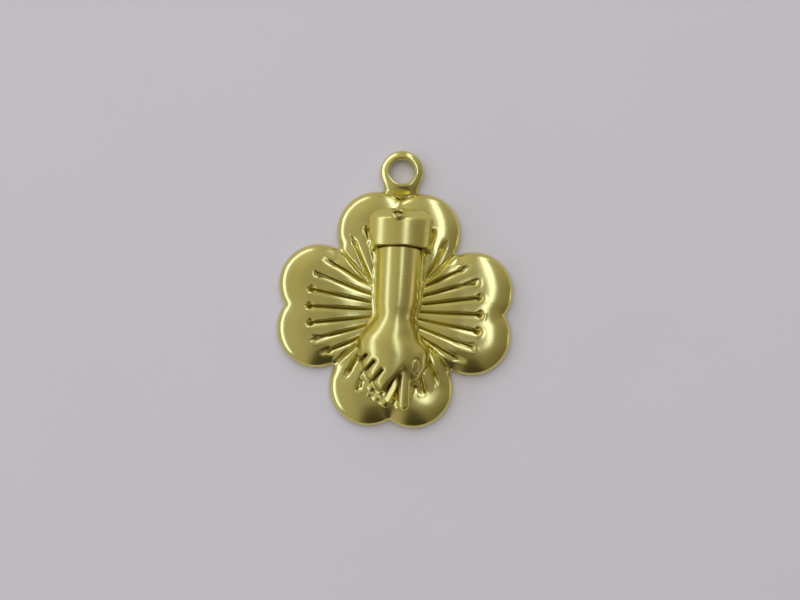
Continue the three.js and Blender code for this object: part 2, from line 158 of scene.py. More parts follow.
def ramp(value, start, end):
    share = np.clip((value - start) / (end - start), 0, 1)
    return share * share * (3 - 2 * share)


def arch(across, height, halfWidth, rise, squareness):
    reach = np.abs(across / halfWidth) ** squareness + (np.maximum(height, 0) / rise) ** squareness
    return (reach ** (1 / squareness) - 1) * np.minimum(halfWidth, rise)


def alongLine(x, y, start, end):
    length = hypot(end[0] - start[0], end[1] - start[1])
    wayX, wayY = (end[0] - start[0]) / length, (end[1] - start[1]) / length
    along = (x - start[0]) * wayX + (y - start[1]) * wayY
    across = (x - start[0]) * wayY - (y - start[1]) * wayX
    return along, across, length


def smoothThrough(stations, where):
    # A curve through a few stations, without corners
    places = np.array([station[0] for station in stations], float)
    values = np.array([station[1] for station in stations], float)
    slopes = np.gradient(values, places)
    fine = np.linspace(places[0], places[-1], 400)
    k = np.clip(np.searchsorted(places, fine) - 1, 0, len(places) - 2)
    run = places[k + 1] - places[k]
    t = (fine - places[k]) / run
    curve = ((1 + 2 * t) * (1 - t) ** 2 * values[k] + t * (1 - t) ** 2 * run * slopes[k]
             + t * t * (3 - 2 * t) * values[k + 1] - t * t * (1 - t) * run * slopes[k + 1])
    return np.interp(where, fine, curve)


def slopeOf(distance, points, step=0.01):
    slope = np.empty_like(points)
    for axis in range(3):
        shift = np.zeros(3)
        shift[axis] = step
        ahead, behind = distance(*(points + shift).T), distance(*(points - shift).T)
        slope[:, axis] = (ahead - behind) / (2 * step)
    return slope


def skinOf(distance, low, high, step):
    # Points and faces of the surface where the distance is zero, from a grid over a box
    low = np.array(low, float)
    counts = [int(np.ceil((b - a) / step)) + 1 for a, b in zip(low, high)]
    axes = [a + step * np.arange(n) for a, n in zip(low, counts)]
    value = distance(*np.meshgrid(*axes, indexing="ij"))
    inside = value < 0
    cells = tuple(n - 1 for n in counts)
    total = np.zeros(cells + (3,))
    hits = np.zeros(cells, int)
    crossings = []
    # One point in each cell that the surface passes through, in the middle of its crossings
    for axis in range(3):
        second, third = (axis + 1) % 3, (axis + 2) % 3
        near, far = [slice(None)] * 3, [slice(None)] * 3
        near[axis], far[axis] = slice(0, -1), slice(1, None)
        near, far = tuple(near), tuple(far)
        crossed = inside[near] != inside[far]
        share = value[near] / np.where(crossed, value[near] - value[far], 1)
        crossings.append((crossed, inside[near]))
        for a in (0, 1):
            for b in (0, 1):
                take = [slice(None)] * 3
                take[second] = slice(a, counts[second] - 1 + a)
                take[third] = slice(b, counts[third] - 1 + b)
                hit = crossed[tuple(take)]
                hits += hit
                total[..., axis] += hit * share[tuple(take)]
                total[..., second] += hit * a
                total[..., third] += hit * b
    used = hits > 0
    number = np.full(cells, -1)
    number[used] = np.arange(used.sum())
    points = low + step * (np.argwhere(used) + total[used] / hits[used][:, None])
    # One face across each crossing, between the four cells that share it
    faces = []
    for axis, (crossed, outward) in enumerate(crossings):
        second, third = (axis + 1) % 3, (axis + 2) % 3
        edge = np.argwhere(crossed)
        edge = edge[(edge[:, second] > 0) & (edge[:, third] > 0)
                    & (edge[:, second] < counts[second] - 1) & (edge[:, third] < counts[third] - 1)]
        ring = []
        for a, b in ((1, 1), (0, 1), (0, 0), (1, 0)):
            cell = edge.copy()
            cell[:, second] -= a
            cell[:, third] -= b
            ring.append(number[tuple(cell.T)])
        ring = np.stack(ring, 1)
        turned = ~outward[tuple(edge.T)]
        ring[turned] = ring[turned][:, ::-1]
        faces.append(ring)
    # The points settle on the surface itself
    for _ in range(2):
        slope = slopeOf(distance, points)
        move = distance(*points.T) / np.maximum((slope ** 2).sum(1), 0.05)
        points = points - slope * np.clip(move, -0.6 * step, 0.6 * step)[:, None]
    return points, np.concatenate(faces)


def hollowness(distance, points, reach):
    # How far a point lies in a crease: 0 on open metal, 1 deep in a corner
    slope = slopeOf(distance, points)
    outward = slope / np.maximum(np.linalg.norm(slope, axis=1), 1e-6)[:, None]
    return np.clip(1 - distance(*(points + outward * reach).T) / reach, 0, 1)


def addPiece(name, mesh, material, node):
    piece = bpy.data.objects.new(name, mesh)
    bpy.context.scene.collection.objects.link(piece)
    mesh.materials.clear()
    mesh.materials.append(material)
    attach(piece, "root")
    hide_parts(node)
    print("made", name, len(mesh.vertices), "points")
    return piece


def addSkin(name, distance, low, high, step, material, node, crease=0.25, darkening=None):
    points, faces = skinOf(distance, low, high, step)
    mesh = bpy.data.meshes.new(name)
    mesh.from_pydata(((points + cloverCentre) * mm).tolist(), [], faces.tolist())
    mesh.polygons.foreach_set("use_smooth", np.ones(len(mesh.polygons), bool))
    # Brown in the creases is tarnish and painted shade; the extra darkening passed in is painted shade
    tarnishAndShade = mesh.attributes.new("tarnishAndShade", "FLOAT", "POINT")
    storedDarkening = hollowness(distance, points, crease)
    if darkening:
        storedDarkening = np.maximum(storedDarkening, darkening(*points.T))
    tarnishAndShade.data.foreach_set("value", storedDarkening.astype(np.float32))
    mesh.update()
    return addPiece(name, mesh, material, node)


# Brass finishes
def colourMix(tree, first, second, share):
    node = tree.nodes.new("ShaderNodeMix")
    node.data_type = "RGBA"
    # its colour sockets, and the share before them
    for place, value in ((6, first), (7, second), (0, share)):
        feed(tree, node.inputs[place], value)
    return node.outputs[2]


def newGroup(name, inputs, outputs):
    group = bpy.data.node_groups.new(name, "ShaderNodeTree")
    kinds = {"value": "NodeSocketFloat", "colour": "NodeSocketColor", "vector": "NodeSocketVector"}
    for socketName, kind in inputs:
        group.interface.new_socket(name=socketName, in_out="INPUT", socket_type=kinds[kind])
    for socketName, kind in outputs:
        group.interface.new_socket(name=socketName, in_out="OUTPUT", socket_type=kinds[kind])
    given, put = group.nodes.new("NodeGroupInput"), group.nodes.new("NodeGroupOutput")
    return group, given.outputs, put.inputs


def tarnishAndShadeGroup():
    # Clean metal with warm patches, going brown where the mask is high: tarnish in the creases, and
    # painted shade in creases, grooves and on the finger ends
    group, given, put = newGroup(
        "brassTarnishAndShade",
        [("Clean", "colour"), ("Warm", "colour"), ("Brown", "colour"),
         ("Crease", "value"), ("Patches", "value")],
        [("Color", "colour"), ("Mask", "value")])
    coordinate = group.nodes.new("ShaderNodeTexCoord").outputs["Object"]
    broad = treeNode(group, "ShaderNodeTexNoise", Vector=coordinate, Scale=260.0, Detail=3.0)
    speck = treeNode(group, "ShaderNodeTexNoise", Vector=coordinate, Scale=2100.0, Detail=4.0,
                     Roughness=0.65)
    patches = fieldRamp(Field(group, broad.outputs["Fac"]), 0.4, 0.66)
    patches = patches * Field(group, given["Patches"])
    uneven = 0.55 + 0.9 * Field(group, speck.outputs["Fac"])
    mask = fieldUnit(fieldRamp(Field(group, given["Crease"]), 0.12, 0.95) * uneven)
    tinted = colourMix(group, given["Clean"], given["Warm"], patches)
    group.links.new(colourMix(group, tinted, given["Brown"], mask), put["Color"])
    group.links.new(mask.socket, put["Mask"])
    return group


def polishGroup():
    # Polishing lines and handling marks
    group, given, put = newGroup(
        "brassPolish",
        [("Roughness", "value"), ("Smudges", "value"), ("Lines", "vector"), ("Mask", "value")],
        [("Roughness", "value"), ("Height", "value")])
    coordinate = group.nodes.new("ShaderNodeTexCoord").outputs["Object"]
    stretched = treeNode(group, "ShaderNodeMapping", Vector=coordinate, Scale=given["Lines"])
    lines = treeNode(group, "ShaderNodeTexNoise", Vector=stretched.outputs["Vector"], Scale=1.0,
                     Detail=3.0, Roughness=0.6)
    smudge = treeNode(group, "ShaderNodeTexNoise", Vector=coordinate, Scale=420.0, Detail=4.0,
                      Roughness=0.6)
    marks = Field(group, smudge.outputs["Fac"]) - 0.5
    height = Field(group, lines.outputs["Fac"])
    roughness = (Field(group, given["Roughness"]) + marks * Field(group, given["Smudges"])
                 + (height - 0.5) * 0.06 + 0.18 * Field(group, given["Mask"]))
    group.links.new(roughness.socket, put["Roughness"])
    group.links.new(height.socket, put["Height"])
    return group


brassTarnishAndShade, brassPolish = tarnishAndShadeGroup(), polishGroup()

finishes = {
    "polishedBrass": dict(clean=(0.77, 0.69, 0.212), warm=(0.76, 0.65, 0.185),
                          brown=(0.25, 0.19, 0.05), patches=0.4, roughness=0.19,
                          smudges=0.08, lines=(5200, 900, 2600), relief=0.06),
    "satinBrass": dict(clean=(0.77, 0.675, 0.195), warm=(0.76, 0.645, 0.175),
                       brown=(0.22, 0.16, 0.045), patches=0.5, roughness=0.29,
                       smudges=0.1, lines=(600, 9000, 4000), relief=0.12),
    "brassSolder": dict(clean=(0.78, 0.71, 0.22), warm=(0.77, 0.66, 0.15),
                        brown=(0.26, 0.18, 0.05), patches=0.8, roughness=0.24,
                        smudges=0.14, lines=(2500, 2500, 2500), relief=0.1),
}


def brass(name):
    finish = finishes[name]
    material = bpy.data.materials.new(name)
    material.use_nodes = True
    tree = material.node_tree
    shader = tree.nodes["Principled BSDF"]
    shader.inputs["Metallic"].default_value = 1.0
    crease = tree.nodes.new("ShaderNodeAttribute")
    crease.attribute_name = "tarnishAndShade"
    tarnishAndShade = tree.nodes.new("ShaderNodeGroup")
    tarnishAndShade.node_tree = brassTarnishAndShade
    for socket, key in (("Clean", "clean"), ("Warm", "warm"), ("Brown", "brown")):
        tarnishAndShade.inputs[socket].default_value = (*finish[key], 1)
    tarnishAndShade.inputs["Patches"].default_value = finish["patches"]
    tree.links.new(crease.outputs["Fac"], tarnishAndShade.inputs["Crease"])
    polish = tree.nodes.new("ShaderNodeGroup")
    polish.node_tree = brassPolish
    polish.inputs["Roughness"].default_value = finish["roughness"]
    polish.inputs["Smudges"].default_value = finish["smudges"]
    polish.inputs["Lines"].default_value = finish["lines"]
    tree.links.new(tarnishAndShade.outputs["Mask"], polish.inputs["Mask"])
    bump = tree.nodes.new("ShaderNodeBump")
    bump.inputs["Strength"].default_value = finish["relief"]
    bump.inputs["Distance"].default_value = 0.02 * mm
    tree.links.new(polish.outputs["Height"], bump.inputs["Height"])
    tree.links.new(tarnishAndShade.outputs["Color"], shader.inputs["Base Color"])
    tree.links.new(polish.outputs["Roughness"], shader.inputs["Roughness"])
    tree.links.new(bump.outputs["Normal"], shader.inputs["Normal"])
    return material


polishedBrass, satinBrass, brassSolder = (brass(name) for name in finishes)
print("brass finishes ready")


# Clover: one leaf follows a rule and is set round the centre four times.
# A leaf is meshed along lines that fan out from a focus behind the centre, as its grooves do.
cloverSizes = {
    "leaves": 4,
    "leafWidth": 13.4,
    "lobeRadius": 4.3,
    "notchReach": 9.0,  # centre to the bottom of the notch between two leaves
    "tipRound": 0.15,  # round in the notch at a leaf's tip
    "sheet": 0.4,
    "rimRound": 0.16,
    "rimFlange": 0.03,
    "domeRun": 3.4,
    "domeSquareness": 2.4,
    "wallShare": 0.8,  # thickness of the dome's wall, in sheet thicknesses
    "grooves": 7,  # in each leaf, with a crease to each notch besides
    "fanFocus": 2.4,
    "grooveReach": 11.6,  # focus to the end of the middle groove
    "grooveDroop": 0.0125,  # how much shorter the outer grooves are
    "grooveWidth": 0.72,
    "grooveLean": 0.58,  # how much wider its one side is than the other
    "grooveDepth": 0.34,
    "grooveStart": 3.4,  # focus to where a groove begins, and to where it has its depth
    "grooveFull": 4.6,
    "lipWidth": 0.45,  # metal pushed up round a groove's end
    "lipRise": 0.025,
    "pitRadius": 0.5,  # mark of the tool's point at a groove's end
    "pitDepth": 0.2,
    "creaseWidth": 0.6,
    "creaseDepth": 0.3,
    "creaseStart": 3.5,  # the same for a crease, from the centre
    "creaseFull": 6.5,
    "landSlope": 0.12,  # rise of the metal between two grooves, to its width
    "landCrest": 0.8,  # where it is highest, across from the wider groove side
    "landStart": 3.0,
    "landFull": 6.0,
    "landFlatter": 0.75,  # how much of it is lost toward the rim where the grooves lean
    "flatterStart": 7.0,
    "flatterFull": 10.5,
    "dish": 0.38,  # how far the sheet sinks to the middle
    "dishFlat": 2.5,  # centre to where it starts to rise, and to where it has risen
    "dishReach": 7.5,
    "backShare": 0.45,  # how much of the grooves shows behind
    "lobeSag": 0.24,  # how far the bottom leaf's east lobe leans outward
    "sagWest": 1.8,  # lines between which it leans
    "sagEast": 5.2,
    "sagNorth": -6.6,
    "sagMiddle": -8.2,
    "sagSouth": -11.0,
    "litGrooveLift": 0.7,  # how much of the painted shade in the grooves is lifted on the top and bottom leaves
    "linesPerGroove": 20,
    "frontRings": 128,
    "frontInner": 0.66,  # share of the rings that lie inside the dome's shoulder
    "backRings": 22,
    "backInner": 0.3,
}


def notchRounds(s, leafReach):
    # Centres of a leaf's lobes, and of the rounds that touch them at its tip and in the notch beside it
    lobeOut, lobeAside = leafReach - s["lobeRadius"], s["leafWidth"] / 2 - s["lobeRadius"]
    tipReach = lobeOut + sqrt((s["lobeRadius"] + s["tipRound"]) ** 2 - lobeAside ** 2)
    along = (lobeOut + lobeAside) / sqrt(2)
    past = (s["lobeRadius"] ** 2 - s["notchReach"] ** 2 + 2 * s["notchReach"] * along
            - lobeOut ** 2 - lobeAside ** 2)
    leafRound = past / (2 * (s["notchReach"] - along - s["lobeRadius"]))
    return {"lobeOut": lobeOut, "lobeAside": lobeAside, "tipReach": tipReach,
            "leafRound": leafRound, "leafReachEach": (s["notchReach"] + leafRound) / sqrt(2)}


def leafLines(size, across, share, inner, band):
    # A point of the leaf from its line, -1 to 1 over the leaf, and its share of the way from the
    # diagonal out to the rim; beyond the inner share the lines close in on the rim, over the band
    half = (size["grooves"] + 1.0) / 2.0
    notchAngle = fieldMath("ARCTAN2", size["notchReach"] * sqrt(0.5),
                           size["notchReach"] * sqrt(0.5) + size["fanFocus"])
    pitch = notchAngle / half
    line = across * half
    groove = fieldMath("ROUND", line)
    off = line - groove
    eased = fieldMath("SIGN", off) * 0.5 * (2.0 * abs(off)) ** 1.9
    turn = (groove + eased) * pitch
    ahead, aside = fieldMath("COSINE", turn), fieldMath("SINE", turn)
    away = abs(aside)
    inset = band * (1.0 - fieldUnit((share - inner) / (1.0 - inner))) ** 1.8

    def crossing(out, side, radius, way):
        along = (out + size["fanFocus"]) * ahead + side * away
        apart = (out + size["fanFocus"]) * away - side * ahead
        return along + way * fieldRoot(radius * radius - apart * apart)

    def pastTangent(out, side, roundRadius):
        grip = (size["lobeRadius"] - inset) / (size["lobeRadius"] + roundRadius)
        x = size["lobeOut"] + (out - size["lobeOut"]) * grip
        y = size["lobeAside"] + (side - size["lobeAside"]) * grip
        return (x + size["fanFocus"]) * away - y * ahead

    lobe = crossing(size["lobeOut"], size["lobeAside"], size["lobeRadius"] - inset, 1.0)
    tip = crossing(size["tipReach"], 0.0, size["tipRound"] + inset, -1.0)
    notch = crossing(size["leafReachEach"], size["leafReachEach"], size["leafRound"] + inset, -1.0)
    inTip = fieldMath("LESS_THAN", pastTangent(size["tipReach"], 0.0, size["tipRound"]), 0.0)
    pastNotch = pastTangent(size["leafReachEach"], size["leafReachEach"], size["leafRound"])
    inNotch = fieldMath("GREATER_THAN", pastNotch, 0.0)
    outer = fieldMix(fieldMix(lobe, notch, inNotch), tip, inTip)
    start = size["fanFocus"] / fieldMath("MAXIMUM", ahead - away, 0.02)
    stopped = fieldMath("LESS_THAN", outer, start)
    reached = fieldMath("MAXIMUM", outer, start)
    far = start + (reached - start) * fieldUnit(share / inner)
    u, v = far * ahead - size["fanFocus"], far * aside
    gapU, gapV = size["leafReachEach"] - u, size["leafReachEach"] - abs(v)
    fromNotch = fieldRoot(gapU * gapU + gapV * gapV) - size["leafRound"]
    return {"u": u, "v": v, "inset": fieldMix(inset, fromNotch, stopped), "far": far,
            "pitch": pitch, "groove": groove, "eased": eased, "half": half}


def pressedRelief(size, p, side):
    # Grooves, the creases between leaves, the tool's pits, and the lands that swell between grooves
    lean = side - (1.0 - abs(side)) * fieldMath("SIGN", p["groove"] + 0.5)
    end = size["grooveReach"] - size["grooveDroop"] * abs(p["groove"]) ** 4.0
    apart = p["far"] * fieldMath("SINE", p["eased"] * p["pitch"])
    past = fieldMath("MAXIMUM", p["far"] - end, 0.0)
    along = fieldUnit(p["far"] / end)
    isGroove = fieldMath("LESS_THAN", abs(p["groove"]), p["half"] - 0.5)
    half = size["grooveWidth"] * 0.5 * (0.25 + 0.75 * along)
    leaning = apart / (1.0 + lean * size["grooveLean"] * fieldMath("SIGN", apart))
    away = fieldRoot(leaning * leaning + past * past)
    fromDiagonal = (p["u"] - abs(p["v"])) * sqrt(0.5)
    inLeaf = fieldRamp(fromDiagonal, 0.0, 0.3)  # so that two leaves meet at one height
    shown = isGroove * fieldRamp(p["far"], size["grooveStart"], size["grooveFull"]) * inLeaf
    groove = (size["grooveDepth"] * (0.25 + 0.75 * along)
              * (1.0 - fieldUnit(away / half)) ** 1.2 * shown)
    nearEnd = isGroove * fieldRamp(p["far"], end - 0.35, end + 0.1)
    fromLip = abs(away - half - size["lipWidth"] * 0.35) / (size["lipWidth"] * 0.5)
    lip = size["lipRise"] * nearEnd * fieldBell(fromLip)
    lip = lip * (1.0 - fieldRamp(abs(p["eased"]), 0.3, 0.48))
    fromPit = fieldRoot(apart * apart + (p["far"] - end + 0.1) * (p["far"] - end + 0.1))
    pit = size["pitDepth"] * isGroove * fieldBell(fromPit / size["pitRadius"])
    radius = fieldRoot(p["u"] * p["u"] + p["v"] * p["v"])
    crease = size["creaseDepth"] * fieldBell(fromDiagonal / (size["creaseWidth"] * 0.5))
    crease = crease * fieldRamp(radius, size["creaseStart"], size["creaseFull"])
    crease = crease * fieldRamp(p["inset"], 0.1, 0.8)
    over = p["eased"] * lean
    over = over + fieldMath("LESS_THAN", over, 0.0)
    uphill = fieldUnit(over / size["landCrest"])
    downhill = fieldUnit((1.0 - over) / (1.0 - size["landCrest"]))
    fromLand = 1.0 - uphill * downhill
    onLand = inLeaf * fieldRamp(p["far"], size["landStart"], size["landFull"])
    onLand = onLand * (1.0 - fieldRamp(p["far"], end - 1.6, end + 0.9))
    flatter = size["landFlatter"] * abs(side)
    flatter = flatter * fieldRamp(p["far"], size["flatterStart"], size["flatterFull"])
    crown = size["landSlope"] * p["far"] * p["pitch"] * (1.0 - flatter)
    swell = crown * (0.55 - fromLand ** (1.2 + 0.8 * abs(side))) * onLand
    return groove, crease, pit, swell + lip


def openTree(name, sizes):
    tree = bpy.data.node_groups.new(name, "GeometryNodeTree")
    tree.interface.new_socket(name="Geometry", in_out="OUTPUT", socket_type="NodeSocketGeometry")
    for key, value in sizes.items():
        kind = "NodeSocketInt" if isinstance(value, int) else "NodeSocketFloat"
        tree.interface.new_socket(name=key, in_out="INPUT", socket_type=kind)
    given = tree.nodes.new("NodeGroupInput")
    return tree, {key: Field(tree, given.outputs[key]) for key in sizes}


def leafTree(sizes):
    # One leaf, front and back; its grooves lean to one side, 1 or -1, or from its middle to both, 0
    tree, size = openTree("cloverLeaf", {**sizes, "lean": 0.0})

    def sheetSide(front):
        rings, inner = (size[("front" if front else "back") + key] for key in ("Rings", "Inner"))
        spokes = (size["grooves"] + 1.0) * size["linesPerGroove"] + 1.0
        grid = treeNode(tree, "GeometryNodeMeshGrid", Size_X=2.0, Size_Y=1.0, Vertices_X=spokes,
                        Vertices_Y=rings)
        onGrid = tree.nodes.new("GeometryNodeInputPosition").outputs[0]
        place = treeNode(tree, "ShaderNodeSeparateXYZ", Vector=onGrid)
        across, share = Field(tree, place.outputs["X"]), Field(tree, place.outputs["Y"]) + 0.5
        p = leafLines(size, across, share, inner, size["rimFlange"] + size["domeRun"] + 0.05)
        groove, crease, pit, swell = pressedRelief(size, p, size["lean"])
        rim = fieldUnit(p["inset"] / size["rimRound"])
        edge = size["sheet"] * 0.5 * fieldRoot(1.0 - (1.0 - rim) * (1.0 - rim))
        wall = 0.0 if front else size["wallShare"] * size["sheet"]
        climb = fieldUnit((p["inset"] - size["rimFlange"] - wall) / size["domeRun"])
        risen = fieldMath("MAXIMUM", 1.0 - (1.0 - climb) ** size["domeSquareness"], 0.0)
        dome = size["domeRise"] * risen ** (1.0 / size["domeSquareness"])
        radius = fieldRoot(p["u"] * p["u"] + p["v"] * p["v"])
        dish = size["dish"] * (1.0 - fieldRamp(radius, size["dishFlat"], size["dishReach"]))
        if front:
            height = size["sheet"] * 0.5 + edge + dome - dish + swell - groove - crease - pit
        else:
            pressed = (groove + crease + pit) * size["backShare"]
            height = fieldMath("MAXIMUM", size["sheet"] * 0.5 - edge + dome - dish - pressed, 0.0)
        # Tarnish in the grooves and creases, deepened with painted shade
        darkening = fieldUnit(fieldRamp(groove / size["grooveDepth"], 0.4, 1.0)
                         + 0.5 * fieldRamp(crease / size["creaseDepth"], 0.4, 1.0))
        named = treeNode(tree, "GeometryNodeStoreNamedAttribute", Geometry=grid.outputs["Mesh"],
                         Name="tarnishAndShade", Value=darkening)
        named.data_type, named.domain = "FLOAT", "POINT"
        point = treeNode(tree, "ShaderNodeCombineXYZ", X=p["u"], Y=p["v"], Z=height)
        moved = treeNode(tree, "GeometryNodeSetPosition", Geometry=named.outputs["Geometry"],
                         Position=point.outputs["Vector"])
        if not front:
            return moved.outputs["Geometry"]
        flipped = treeNode(tree, "GeometryNodeFlipFaces", Mesh=moved.outputs["Geometry"])
        return flipped.outputs["Mesh"]

    leaf = tree.nodes.new("GeometryNodeJoinGeometry")
    for side in (True, False):
        tree.links.new(sheetSide(side), leaf.inputs["Geometry"])
    tree.links.new(leaf.outputs["Geometry"], tree.nodes.new("NodeGroupOutput").inputs["Geometry"])
    return tree


def cloverTree(sizes, material):
    tree, size = openTree("cloverLeaves", sizes)
    # The tool was not turned with the leaves, so their grooves lean over to different sides
    leaf, kinds = leafTree(sizes), tree.nodes.new("GeometryNodeJoinGeometry")
    for lean in (0.0, 1.0, -1.0):
        made = tree.nodes.new("GeometryNodeGroup")
        made.node_tree = leaf
        for key in sizes:
            tree.links.new(size[key].socket, made.inputs[key])
        made.inputs["lean"].default_value = lean
        whole = treeNode(tree, "GeometryNodeGeometryToInstance", Geometry=made.outputs["Geometry"])
        tree.links.new(whole.outputs["Instances"], kinds.inputs["Geometry"])
    stems = treeNode(tree, "GeometryNodeMeshLine", Count=size["leaves"])
    stems.inputs["Offset"].default_value = (0, 0, 0)
    count = Field(tree, tree.nodes.new("GeometryNodeInputIndex").outputs[0])
    turned = treeNode(tree, "ShaderNodeCombineXYZ", Z=count * (2 * pi) / size["leaves"])
    kind = fieldMath("MAXIMUM", count - 1.0, 0.0)
    leaves = treeNode(tree, "GeometryNodeInstanceOnPoints", Points=stems.outputs["Mesh"],
                      Pick_Instance=True, Instance=kinds.outputs["Geometry"], Instance_Index=kind,
                      Rotation=turned.outputs["Vector"])
    real = treeNode(tree, "GeometryNodeRealizeInstances", Geometry=leaves.outputs["Instances"])
    closed = treeNode(tree, "GeometryNodeMergeByDistance", Geometry=real.outputs["Geometry"],
                      Distance=0.0003)
    onLeaf = tree.nodes.new("GeometryNodeInputPosition").outputs[0]
    spot = treeNode(tree, "ShaderNodeSeparateXYZ", Vector=onLeaf)
    x, y, z = (Field(tree, spot.outputs[axis]) for axis in "XYZ")
    leaning = fieldRamp(x, size["sagWest"], size["sagEast"])
    leaning = leaning * fieldRamp(y, size["sagNorth"], size["sagMiddle"])
    leaning = leaning * (1.0 - 0.7 * fieldRamp(y, size["sagMiddle"], size["sagSouth"]))
    sag = size["lobeSag"] * leaning * z / (size["domeRise"] + size["sheet"])
    lower = treeNode(tree, "ShaderNodeCombineXYZ", Z=0.0 - sag)
    sagged = treeNode(tree, "GeometryNodeSetPosition", Geometry=closed.outputs["Geometry"],
                      Offset=lower.outputs["Vector"])
    storedDarkening = treeNode(tree, "GeometryNodeInputNamedAttribute", Name="tarnishAndShade")
    # Painted shade in the grooves is lifted on the top and bottom leaves, whose groove walls face the
    # lit sides
    litGrooveLift = size["litGrooveLift"] * fieldRamp(abs(y) - abs(x), -0.4, 0.4)
    kept = Field(tree, storedDarkening.outputs["Attribute"]) * (1.0 - litGrooveLift)
    shadeLifted = treeNode(tree, "GeometryNodeStoreNamedAttribute", Geometry=sagged.outputs["Geometry"],
                       Name="tarnishAndShade", Value=kept)
    smooth = treeNode(tree, "GeometryNodeSetShadeSmooth", Geometry=shadeLifted.outputs["Geometry"])
    placed = treeNode(tree, "GeometryNodeTransform", Geometry=smooth.outputs["Geometry"])
    placed.inputs["Translation"].default_value = tuple(cloverCentre * mm)
    placed.inputs["Scale"].default_value = (mm, mm, mm)
    finished = treeNode(tree, "GeometryNodeSetMaterial", Geometry=placed.outputs["Geometry"])
    finished.inputs["Material"].default_value = material
    result = tree.nodes.new("NodeGroupOutput").inputs["Geometry"]
    tree.links.new(finished.outputs["Geometry"], result)
    return tree


def cloverShell():
    leafReach = (shellHigh[0] - shellLow[0]) / 2
    sizes = {**cloverSizes, **notchRounds(cloverSizes, leafReach),
             "domeRise": sheetTop - cloverSizes["sheet"]}
    holder = bpy.data.objects.new("leafRule", bpy.data.meshes.new("leafRule"))
    bpy.context.scene.collection.objects.link(holder)
    rule = holder.modifiers.new("leafRule", "NODES")
    rule.node_group = cloverTree(sizes, polishedBrass)
    for socket in rule.node_group.interface.items_tree:
        if socket.in_out == "INPUT":
            rule[socket.identifier] = sizes[socket.name]
    graph = bpy.context.evaluated_depsgraph_get()
    made = bpy.data.meshes.new_from_object(holder.evaluated_get(graph))
    holder.modifiers.remove(rule)
    bpy.data.objects.remove(holder)
    made.name = "cloverShell"
    return addPiece("cloverShell", made, polishedBrass, "clover_shell")


cloverShell()


# Hanging eye: a round ring whose foot runs out into the notch at the top of the clover
eyeSizes = {
    "hole": 2.64,
    "crest": 1.7,  # radius of the ring's highest line, nearer to the hole
    "fall": 0.55,  # slope of its top from there to the rim
    "thickness": 1.3,
    "squareness": 2.6,
    "footWidth": 3.7,
    "footLow": 0.95,  # its height at the clover and under the ring
    "footHigh": 1.28,
    "footSquareness": 3.6,
    "flow": 0.3,  # how softly ring and foot run together
    "crestRound": 0.12,
    "holeRound": 0.05,
    "step": 0.05,  # between the points of its skin, as in the pieces below
}


def eyeShape(x, y, z):
    s = eyeSizes
    outer, inner = (eyeHigh[0] - eyeLow[0]) / 2, s["hole"] / 2
    centreY = eyeHigh[1] - outer
    away = np.hypot(x, y - centreY)
    run = np.where(away > s["crest"], outer - s["crest"], s["crest"] - inner)
    ring = (np.abs((away - s["crest"]) / run) ** s["squareness"]
            + np.abs(2 * z / s["thickness"] - 1) ** s["squareness"]) ** (1 / s["squareness"])
    slope = (z - s["thickness"] + s["fall"] * (away - s["crest"])) * 0.87  # square to the slope
    ring = overlap((ring - 1) * run, slope, s["crestRound"])
    top = s["footLow"] + (s["footHigh"] - s["footLow"]) * ramp(y, eyeLow[1], centreY - inner)
    foot = arch(x, z, s["footWidth"] / 2, top, s["footSquareness"])
    foot = np.maximum(np.maximum(foot, y - centreY + 0.4), eyeLow[1] - 0.1 - y)
    both = join(ring, foot, s["flow"])
    return np.maximum(overlap(both, inner - away, s["holeRound"]), -z)


def hangingEye():
    return addSkin("hangingEye", eyeShape, eyeLow - 0.3, eyeHigh + 0.3, eyeSizes["step"],
                   polishedBrass, "hanging_eye")


hangingEye()


# Solder line between the eye's foot and the two lobes of the clover
seamSizes = {"width": 0.32, "rise": 1.06, "length": 3.9, "step": 0.04}


def eyeSeam():
    s = seamSizes
    lobe = cloverSizes["lobeRadius"]
    lobeAside, lobeOut = cloverSizes["leafWidth"] / 2 - lobe, shellHigh[0] - lobe

    def bead(x, y, z):
        inLobe = np.hypot(np.maximum(lobeAside - np.abs(x), 0), np.maximum(y - lobeOut, 0)) - lobe
        half = s["width"] / 2 * (1 + 0.2 * np.sin(5.1 * x + 0.6))
        rise = s["rise"] * np.sqrt(np.maximum(1 - (2 * x / s["length"]) ** 2, 0.02))
        crown = np.hypot((inLobe - 0.03) / half, z / rise) - 1
        return np.maximum(np.maximum(crown * half, np.abs(x) - s["length"] / 2), -z)

    low, high = nodeBox("eye_solder_seam")
    high = np.maximum(high, (0, 0, s["rise"]))
    return addSkin("eyeSeam", bead, low - 0.4, high + 0.4, s["step"], brassSolder,
                   "eye_solder_seam")


eyeSeam()


# Hand: forearm and back of the fist, lofted through a few stations down the arm
handSizes = {
    "left": [(6.8, -2.14), (3.1, -2.14), (0.6, -2.08), (-0.75, -2.0), (-1.4, -2.43), (-2.1, -2.92),
             (-2.6, -3.3), (-3.1, -3.55), (-4.0, -3.65), (-4.8, -3.62), (-5.6, -3.6), (-7.4, -3.3)],
    "right": [(6.8, 2.55), (3.1, 2.55), (0.6, 2.4), (-0.8, 2.16), (-1.8, 2.5), (-2.8, 2.84),
              (-3.75, 3.38), (-4.25, 3.6), (-5.2, 3.67), (-6.2, 3.29), (-6.7, 2.94), (-7.4, 2.5)],
    "rise": [(6.8, 2.75), (3.0, 2.75), (0.6, 2.65), (-0.85, 2.55), (-2.2, 2.78), (-3.85, 3.02),
             (-5.0, 3.0), (-6.2, 2.95), (-7.4, 2.87), (-8.8, 2.62)],
    "squareness": 2.0,
    "shoulderGap": 0.12,  # open line between the forearm and the cuff
    "lean": 0.08,  # how far that line leans, for each millimetre of its height
    "spigotWidth": 3.6,
    "spigotRise": 1.9,
    "spigotLength": 3.0,
    "spigotSquareness": 2.4,
    "step": 0.061,
}

